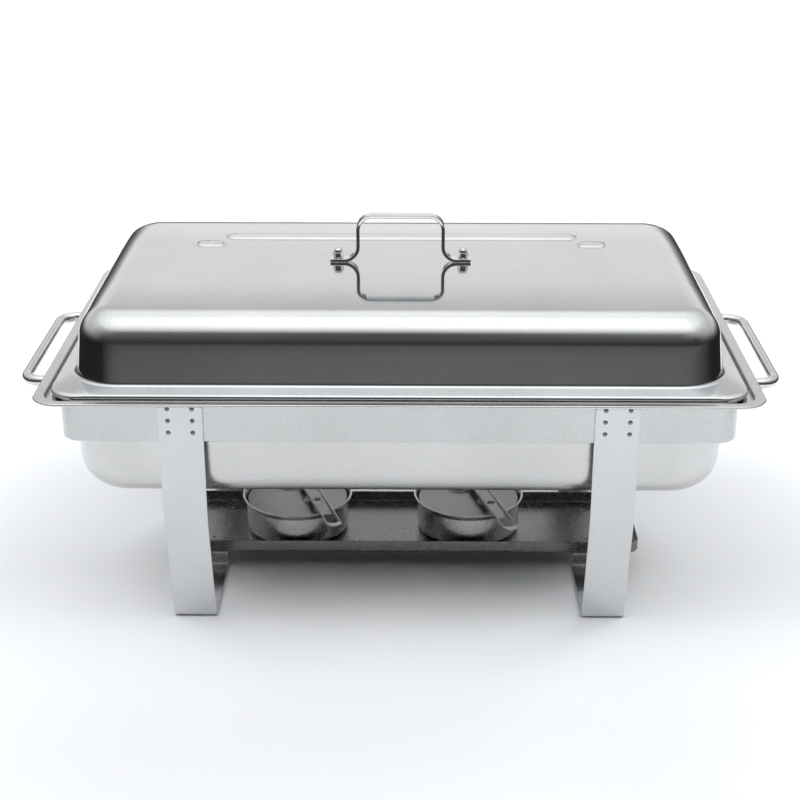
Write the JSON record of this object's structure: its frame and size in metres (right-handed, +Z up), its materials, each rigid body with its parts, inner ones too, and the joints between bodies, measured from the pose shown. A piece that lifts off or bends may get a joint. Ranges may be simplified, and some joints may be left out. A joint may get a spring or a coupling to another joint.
{
  "type": "chafing dish food warmer",
  "caption": "Rectangular stainless chafing dish: domed lid with a bridge handle over a food pan in a water pan, on a strap-legged frame with a tray of round fuel cups.",
  "frame": {"origin": "on the floor under the middle of the dish", "axes": "+X along the length towards the right side handle, +Y towards the rear, +Z up"},
  "size_m": [0.631, 0.345, 0.3085],
  "materials": {
    "lid_steel": "satin-mirror polished stainless with fine grain",
    "handle_chrome": "bright polished strip",
    "hardware_chrome": "bright plated hardware",
    "pan_steel": "bright satin stainless",
    "food_pan_steel": "satin stainless",
    "band_steel": "bright satin stainless",
    "strap_steel": "bright satin stainless",
    "rivet_steel": "dull turned heads",
    "rod_chrome": "bright polished rod",
    "tray_steel": "satin stainless",
    "cup_steel": "polished stainless",
    "cover_steel": "dull heat-marked stainless",
    "arm_steel": "satin stainless strip",
    "wick_white": "matt white fibre"
  },
  "bodies": {
    "frame": {"frame_band": "band_steel", "leg_strap_left": "strap_steel", "leg_plate_front_left": "strap_steel", "leg_plate_rear_left": "strap_steel", "handle_pads_left": "band_steel", "handle_rivets_left": "rivet_steel", "side_handle_left": "rod_chrome", "leg_strap_right": "strap_steel", "leg_plate_front_right": "strap_steel", "leg_plate_rear_right": "strap_steel", "handle_pads_right": "band_steel", "handle_rivets_right": "rivet_steel", "side_handle_right": "rod_chrome", "leg_rivets": "rivet_steel", "fuel_tray": "tray_steel", "tray_rivets": "rivet_steel"},
    "water_pan": {"water_pan": "pan_steel"},
    "food_pan": {"food_pan": "food_pan_steel"},
    "lid": {"lid_shell": "lid_steel", "lid_handle": "handle_chrome", "lid_handle_washers": "hardware_chrome", "lid_handle_nuts": "hardware_chrome", "lid_handle_screws": "hardware_chrome"},
    "fuel_cup_left": {"fuel_cup_left": "cup_steel", "cup_cover_left": "cover_steel", "wick_left": "wick_white", "damper_pivot_left": "hardware_chrome"},
    "damper_left": {"damper_arm_left": "arm_steel"},
    "fuel_cup_right": {"fuel_cup_right": "cup_steel", "cup_cover_right": "cover_steel", "wick_right": "wick_white", "damper_pivot_right": "hardware_chrome"},
    "damper_right": {"damper_arm_right": "arm_steel"}
  },
  "joints": [
    {"name": "water_pan_lift", "type": "slide", "parent": "frame", "child": "water_pan", "axis": [0, 0, 1], "range_m": [0, 0.15]},
    {"name": "food_pan_lift", "type": "slide", "parent": "water_pan", "child": "food_pan", "axis": [0, 0, 1], "range_m": [0, 0.1]},
    {"name": "lid_lift", "type": "slide", "parent": "food_pan", "child": "lid", "axis": [0, 0, 1], "range_m": [0, 0.15]},
    {"name": "fuel_cup_left_lift", "type": "slide", "parent": "frame", "child": "fuel_cup_left", "axis": [0, 0, 1], "range_m": [0, 0.04]},
    {"name": "damper_left_swing", "type": "hinge", "parent": "fuel_cup_left", "child": "damper_left", "pos_m": [-0.093, 0.036, 0.0517], "axis": [0, 0, 1], "range_deg": [-35, 35]},
    {"name": "fuel_cup_right_lift", "type": "slide", "parent": "frame", "child": "fuel_cup_right", "axis": [0, 0, 1], "range_m": [0, 0.04]},
    {"name": "damper_right_swing", "type": "hinge", "parent": "fuel_cup_right", "child": "damper_right", "pos_m": [0.0638, 0.032, 0.0517], "axis": [0, 0, 1], "range_deg": [-35, 35]}
  ]
}
